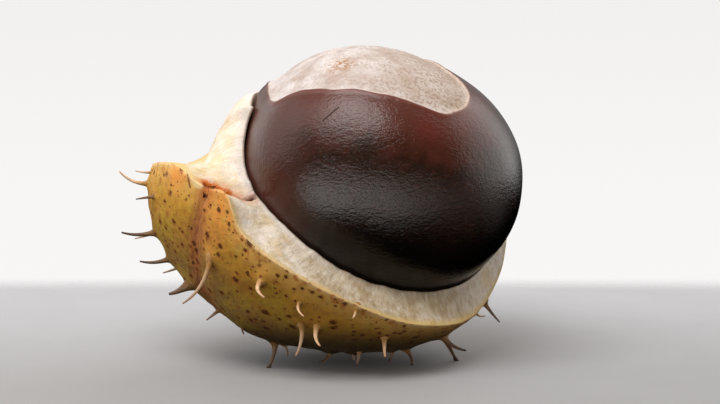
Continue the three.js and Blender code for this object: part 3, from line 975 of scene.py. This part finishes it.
def skin_material():
    n = MaterialNodes("husk_skin")
    tint = SKIN_COLOURS
    rim = n.value("rim_mm")
    seam = n.value("seam_mm")
    blotches = n.noise(4.0, 4, 0.6)
    fine = n.noise(0.7, 4, 0.65, shift=(20, 0, 0))
    color = n.mix(n.ramp(rim, 0.0, 7.0), tint["near_rim"], tint["middle"])
    color = n.mix(n.ramp(rim, 6.0, 16.0), color, tint["low"])
    color = n.mix(n.ramp(blotches, 0.48, 0.66, 0.0, 0.7), color, tint["olive"])
    color = n.mix(n.ramp(blotches, 0.48, 0.32, 0.0, 0.65), color, tint["russet"])
    color = n.mix(n.ramp(fine, 0.45, 0.75, 0.0, 0.4), color, tint["pale_grain"])
    color = n.mix(n.ramp(fine, 0.48, 0.25, 0.0, 0.45), color, tint["dark_grain"])
    # Paler yellow under the rim, with reddish marks
    color = n.mix(n.times(n.ramp(rim, 5.0, 0.3), 0.55), color, tint["under_rim"])
    color = n.mix(n.ramp(rim, 0.9, 0.0, 0.0, 0.6), color, tint["edge"])
    marks = n.ramp(n.noise(1.3, 4, 0.6, shift=(7, 3, 3)), 0.53, 0.66)
    color = n.mix(n.times(marks, n.ramp(rim, 3.2, 0.6, 0.0, 0.75)), color, tint["mark"])
    # Seam: pinkish brown with uneven lines along it
    band = n.ramp(n.math("ABSOLUTE", n.math("ADD", seam, 0.4)), 0.3, 2.3, 0.8, 0.0)
    color = n.mix(band, color, tint["seam"])
    lines = n.math("SINE", n.math("MULTIPLY_ADD", seam, 9.0, n.times(blotches, 20.0)))
    color = n.mix(n.times(n.ramp(lines, 0.0, 1.0, 0.0, 0.6), band), color, tint["seam_line"])
    # Orange where the flesh split, down the seam and on top of the stub
    patchy = n.ramp(n.noise(1.4, 4, 0.65, shift=(0, 9, 0)), 0.34, 0.58, 0.35, 1.0)
    blush = n.larger(near_point(n, SPLIT_BLUSH, 6.0), near_point(n, STUB_BLUSH, 3.2))
    blush = n.larger(blush, n.times(near_point(n, SEAM_BLUSH, 5.0), 0.5))
    color = n.mix(n.times(blush, patchy), color, tint["blush"])
    color = n.mix(n.times(n.value("stain"), 0.7), color, tint["stain"])
    pale_corner = n.ramp(near_point(n, PALE_CORNER, 2.6), 0.3, 0.6, 0.0, 0.9)
    color = n.mix(pale_corner, color, tint["pale_corner"])
    color = n.mix(near_line(n, *SKIN_CRACK, 0.3), color, tint["crack"])
    color = n.mix(near_point(n, STUB_SPOT, 0.7), color, tint["stub_spot"])
    # Brown specks with a reddish border
    specks = n.spots(*FINE_SPECKS)
    border = 0.0
    for spacing, speck_size, border_size, shift in SPECKS:
        specks = n.larger(specks, n.spots(spacing, *speck_size, shift))
        border = n.larger(n.spots(spacing, *border_size, shift), border)
    color = n.mix(n.times(border, 0.65), color, tint["speck_border"])
    color = n.mix(n.times(specks, 0.88), color, tint["speck"])
    color = n.mix(n.ramp(n.value("mound"), 0.35, 0.95, 0.0, 0.5), color, tint["mound"])
    color = n.mix(n.ramp(n.value("split"), 0.05, 0.6), color, tint["split"])
    # Painted shade: much darker low down, near the ground
    _x, _y, height = n.axes()
    color = n.mix(n.ramp(height, 8.5, 3.2, 0.0, 0.93), color, tint["underside"])
    relief_height = n.math("MULTIPLY_ADD", fine, 0.7, n.times(specks, -0.5))
    rough = n.ramp(fine, 0.3, 0.8, 0.45, 0.65)
    return n.finish(color, rough, n.bump(relief_height, 0.15), Specular_IOR_Level=0.12)


def flesh_material():
    n = MaterialNodes("husk_flesh")
    tint = FLESH_COLOURS
    share = n.value("share")
    # Fibres run across the face, from the seed to the skin
    rim_place = n.tree.nodes.new("ShaderNodeCombineXYZ")
    n.set(rim_place.inputs[0], n.value("across"))
    n.set(rim_place.inputs[1], n.value("round"))
    n.set(rim_place.inputs[2], n.times(share, FIBRE_STRETCH))
    fibres = n.noise(0.5, 4, 0.65, place=rim_place.outputs[0])
    clouds = n.noise(2.6, 4, 0.6, shift=(4, 4, 4))
    grain = n.noise(0.33, 3, 0.65, shift=(0, 8, 3))
    color = n.mix(n.ramp(clouds, 0.38, 0.68, 0.0, 0.8), tint["fresh"], tint["cloud"])
    # Browner in front than on the stub and at the far right
    x, _y, _z = n.axes()
    aged = n.times(n.ramp(x, -11.0, 8.0), n.ramp(x, 23.0, 15.0, 0.1, 1.0))
    tan = n.mix(n.ramp(clouds, 0.35, 0.65), tint["tan"], tint["dark_tan"])
    color = n.mix(n.times(aged, 0.85), color, tan)
    streaks = n.times(n.ramp(fibres, 0.47, 0.7), n.math("MULTIPLY_ADD", aged, 0.5, 0.25))
    color = n.mix(streaks, color, tint["streak"])
    color = n.mix(n.times(n.ramp(fibres, 0.47, 0.3), 0.35), color, tint["pale_fibre"])
    color = n.mix(n.ramp(grain, 0.5, 0.75, 0.0, 0.3), color, tint["grain"])
    # Whitish lip along the seed, yellow under the skin and on the stub
    lip = n.times(n.ramp(share, 0.2, 0.05, 0.0, 0.6), n.math("MULTIPLY_ADD", aged, -0.85, 1.0))
    color = n.mix(lip, color, tint["lip"])
    # Painted shade: dark brown where the flesh meets the seed, and over the whole cavity wall
    color = n.mix(n.ramp(share, 0.035, 0.0, 0.0, 0.7), color, tint["painted_shade_at_seed"])
    color = n.mix(n.ramp(share, 0.76, 1.0, 0.0, 0.75), color, tint["under_skin"])
    stub = n.times(near_point(n, STUB_BLUSH, 9.0), n.ramp(clouds, 0.3, 0.6, 0.25, 0.75))
    color = n.mix(stub, color, tint["stub"])
    # Orange stain beside the splits, and their dark core
    patchy = n.ramp(n.noise(0.9, 4, 0.65, shift=(5, 1, 0)), 0.36, 0.6, 0.6, 1.0)
    stain = n.times(n.value("stain"), n.ramp(share, 0.15, 0.5, 0.4, 1.3))
    color = n.mix(n.times(stain, patchy), color, tint["stain"])
    color = n.mix(n.ramp(n.value("split"), 0.1, 0.9), color, tint["split"])
    height = n.math("ADD", n.math("MULTIPLY_ADD", clouds, 0.5, grain), fibres)
    return n.finish(
        color, 0.75, n.bump(height, 0.15), Specular_IOR_Level=0.25,
        Subsurface_Weight=0.12, Subsurface_Radius=FLESH_LIGHT_DEPTH, Subsurface_Scale=0.4,
    )


def spine_material():
    n = MaterialNodes("husk_spine")
    along = n.value("along")
    tone_and_shade = n.value("tone_and_shade")
    grain = n.noise(0.5, 3, 0.6)
    # The tone is partly the spine's own colour and partly painted shade, darker where a spine lies in
    # shadow.
    base = n.mix(tone_and_shade, *SPINE_COLOURS["base"])
    middle = n.mix(tone_and_shade, *SPINE_COLOURS["middle"])
    tip = n.mix(tone_and_shade, *SPINE_COLOURS["tip"])
    color = n.mix(n.ramp(along, 0.1, 0.5), base, middle)
    color = n.mix(n.ramp(along, 0.6, 1.0), color, tip)
    color = n.mix(n.ramp(grain, 0.45, 0.75, 0.0, 0.4), color, SPINE_GRAIN)
    return n.finish(color, 0.45, n.bump(grain, 0.05), Specular_IOR_Level=0.3)


def coat_colour(n, edge, leather, x):
    """Red-brown near the scar, on top, and nearly black far from it: this darkening is painted shade."""
    tint = COAT_COLOURS
    clouds = n.noise(4.5, 4, 0.6, shift=(6, 0, 2))
    down = n.math("MULTIPLY_ADD", clouds, 7.0, edge)
    coat = n.mix(n.ramp(down, 5.0, 13.0), tint["near_scar"], tint["middle"])
    coat = n.mix(n.ramp(leather, 0.52, 0.75, 0.0, 0.35), coat, tint["leather"])
    patches = n.ramp(n.noise(2.6, 2, 0.5, shift=(1, 6, 2)), 0.48, 0.72, 0.0, 0.35)
    coat = n.mix(n.times(patches, n.ramp(down, 16.0, 10.0)), coat, tint["patch"])
    # Painted shade: nearly black low on the seed, far from the scar
    coat = n.mix(n.ramp(down, 15.0, 25.0), coat, tint["low"])
    # Less painted shade on the left side: red-brown there
    coat = n.mix(n.ramp(x, 1.0, -7.0, 0.0, 0.8), coat, tint["left"])
    coat = n.mix(n.times(near_point(n, RED_PATCH, 3.0), 0.4), coat, tint["red_patch"])
    return n.mix(n.ramp(edge, 0.15, 0.9, 0.8, 0.0), coat, tint["scar_border"])


def scar_colour(n, edge, speckle, x):
    """Pale, with brown mottling that grows to the right."""
    tint = SCAR_COLOURS
    cloud = n.noise(3.6, 5, 0.65, shift=(9, 1, 1))
    right = n.ramp(x, 0.0, 20.0)
    scar = n.mix(n.ramp(cloud, 0.32, 0.66), tint["pale"], tint["cloud"])
    scar = n.mix(n.times(right, 0.55), scar, tint["right"])
    mottle = n.times(n.ramp(speckle, 0.46, 0.66), n.math("MULTIPLY_ADD", right, 0.7, 0.3))
    scar = n.mix(mottle, scar, tint["mottle"])
    scuff = n.times(near_point(n, SCAR_SCUFF, 3.2), n.ramp(speckle, 0.42, 0.56))
    scar = n.mix(scuff, scar, tint["scuff"])
    border = n.times(n.ramp(edge, -0.5, -0.25), n.ramp(edge, 0.0, -0.15))
    border = n.times(border, n.math("MULTIPLY_ADD", right, 0.2, 0.1))
    return n.mix(border, scar, tint["border"])


def coat_material():
    """The seed's glossy coat and its dull scar, told apart by the distance to the scar's edge."""
    n = MaterialNodes("seed_coat")
    edge = n.value("edge_mm")
    leather = n.noise(0.6, 3, 0.6, stretch=(0.7, 0.85, 1.2), shift=(3, 3, 3))
    pores = n.noise(0.28, 3, 0.65, stretch=(0.75, 0.9, 1.15))
    speckle = n.noise(0.4, 5, 0.72, shift=(2, 2, 8))
    x, _y, _z = n.axes()
    on_coat = n.ramp(edge, -0.12, 0.08)
    off_coat = n.math("SUBTRACT", 1.0, on_coat)
    scratch = near_line(n, *COAT_SCRATCH, 0.13)
    color = n.mix(on_coat, scar_colour(n, edge, speckle, x), coat_colour(n, edge, leather, x))
    color = n.mix(scratch, color, COAT_COLOURS["scratch"])
    rough_coat = n.times(on_coat, n.ramp(pores, 0.3, 0.75, 0.08, 0.2))
    rough_scar = n.times(off_coat, n.ramp(speckle, 0.3, 0.7, 0.7, 0.9))
    rough = n.math("ADD", rough_coat, rough_scar)
    coat_height = n.math("MULTIPLY_ADD", leather, 1.1, pores)
    coat_height = n.times(n.math("MULTIPLY_ADD", scratch, -1.2, coat_height), on_coat)
    scar_height = n.times(off_coat, n.times(speckle, 1.4))
    normal = n.bump(n.math("ADD", coat_height, scar_height), 0.05)
    return n.finish(color, rough, normal, Specular_IOR_Level=0.26)


def floor_material():
    """Pale floor that fades out round the part into the backdrop, with painted shade that darkens it
    toward the front.
    """
    n = MaterialNodes("floor")
    tint = FLOOR_COLOURS
    grain = n.noise(9.0, 3, 0.5)
    _x, depth, _z = n.axes()
    # Painted shade: darker in front, paler behind
    color = n.mix(n.ramp(depth, -45.0, 55.0), tint["shaded_front"], tint["back"])
    color = n.mix(n.ramp(grain, 0.3, 0.7, 0.0, 0.06), color, tint["grain"])
    n.finish(color, 0.7, Specular_IOR_Level=0.2)
    away = n.vector("LENGTH", n.vector("MULTIPLY", n.place, (1 / FLOOR_STRETCH, 1, 0)))
    fade = n.tree.nodes.new("ShaderNodeMixShader")
    clear = n.tree.nodes.new("ShaderNodeBsdfTransparent")
    n.set(fade.inputs[0], n.ramp(away, FLOOR_EDGE[0], FLOOR_EDGE[1]))
    n.tree.links.new(n.shader.outputs[0], fade.inputs[1])
    n.tree.links.new(clear.outputs[0], fade.inputs[2])
    n.tree.links.new(fade.outputs[0], n.tree.nodes["Material Output"].inputs["Surface"])
    return n.material


# Stage


def build_floor():
    half = FLOOR_EDGE[1] * FLOOR_STRETCH * FLOOR_MARGIN * MM
    corners = [(-half, -half, 0), (half, -half, 0), (half, half, 0), (-half, half, 0)]
    mesh = bpy.data.meshes.new("floor")
    mesh.from_pydata(corners, [], [(0, 1, 2, 3)])
    mesh.materials.append(floor_material())
    floor = bpy.data.objects.new("floor", mesh)
    bpy.context.collection.objects.link(floor)
    floor.visible_glossy = False
    floor.visible_diffuse = False


def build_lights():
    for name, (direction, distance, size, power, glossy) in LIGHTS.items():
        data = bpy.data.lights.new(name, "AREA")
        data.shape = "RECTANGLE"
        data.size = size[0] * MM
        data.size_y = size[1] * MM
        data.energy = power
        light = bpy.data.objects.new(name, data)
        toward = Vector(unit(direction))
        light.location = (Vector(SEED_CENTRE) + toward * distance) * MM
        light.rotation_euler = toward.to_track_quat("Z", "Y").to_euler()
        light.visible_glossy = glossy
        bpy.context.collection.objects.link(light)


def mirrored_room(n):
    """Brightness of the room in reflections: walls, window, ceiling and the table's front edge."""
    x, y, z = n.axes()
    behind = n.ramp(n.vector("DOT_PRODUCT", n.place, WALL_BEHIND), -0.05, 0.5, 0.0, BEHIND_LIGHT)
    behind = n.times(behind, n.ramp(y, 0.6, 0.95, 1.0, 0.1))
    left = n.ramp(x, -0.35, -0.85, 0.0, LEFT_LIGHT)
    left = n.times(left, n.larger(n.ramp(y, -0.1, 0.3), n.ramp(z, 0.35, 0.65)))
    walls = n.times(n.larger(behind, left), n.ramp(z, -0.16, 0.0))
    window = n.ramp(n.vector("DOT_PRODUCT", n.place, WINDOW), 0.83, 0.98, 0.0, WINDOW_LIGHT)
    overhead = n.ramp(z, 0.6, 0.95, 0.0, OVERHEAD_LIGHT)
    table = n.times(n.ramp(z, -0.52, -0.27), n.ramp(z, -0.07, -0.13))
    table = n.times(table, n.ramp(x, -0.95, -0.75))
    table = n.times(table, n.ramp(x, -0.7, 1.0, *TABLE_LIGHT))
    table = n.times(table, n.ramp(y, 0.2, 0.6, 1.0, 0.0))
    return n.math("ADD", n.larger(walls, n.larger(overhead, table)), window)


def choose(n, factor, yes, no):
    """The value yes where factor is 1, and no where it is 0."""
    return n.math("MULTIPLY_ADD", factor, n.math("SUBTRACT", yes, no), no)


def build_world():
    """Room with one brightness for reflections, one for dull surfaces and one for the camera."""
    world = bpy.data.worlds.new("studio")
    world.use_nodes = True
    bpy.context.scene.world = world
    n = Nodes(world.node_tree, "Generated", 1)
    _x, _y, z = n.axes()
    diffuse = n.ramp(z, -0.7, 0.45, *DIFFUSE_LIGHT)
    backdrop = n.ramp(z, -0.17, 0.05, *BACKDROP_LIGHT)
    path = n.tree.nodes.new("ShaderNodeLightPath")
    strength = choose(n, path.outputs["Is Glossy Ray"], mirrored_room(n), diffuse)
    strength = choose(n, path.outputs["Is Camera Ray"], backdrop, strength)
    background = n.tree.nodes["Background"]
    n.set(background.inputs["Strength"], strength)
    n.set(background.inputs["Color"], ROOM_COLOUR)


def build_camera():
    right = np.array([1, 0, 0])
    forward = np.array([0, math.cos(CAMERA_RISE), -math.sin(CAMERA_RISE)])
    up = np.array([0, math.sin(CAMERA_RISE), math.cos(CAMERA_RISE)])
    aside = (SEED_PIXEL[0] - FRAME_WIDTH / 2) / FOCAL_PIXELS * CAMERA_DISTANCE
    above = (FRAME_HEIGHT / 2 - SEED_PIXEL[1]) / FOCAL_PIXELS * CAMERA_DISTANCE
    data = bpy.data.cameras.new("camera")
    data.sensor_width = SENSOR_WIDTH
    data.lens = FOCAL_PIXELS / FRAME_WIDTH * SENSOR_WIDTH
    camera = bpy.data.objects.new("camera", data)
    place = SEED_CENTRE - forward * CAMERA_DISTANCE - right * aside - up * above
    camera.location = place * MM
    camera.rotation_euler = (math.pi / 2 - CAMERA_RISE, 0, 0)
    bpy.context.collection.objects.link(camera)
    bpy.context.scene.camera = camera


husk = build_husk([skin_material(), flesh_material(), spine_material()])
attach(husk, "root")
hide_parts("husk")

seed = build_seed([coat_material()])
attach(seed, "root")
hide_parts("seed")

build_floor()
build_lights()
build_world()
build_camera()
bpy.context.scene.view_settings.view_transform = "Standard"
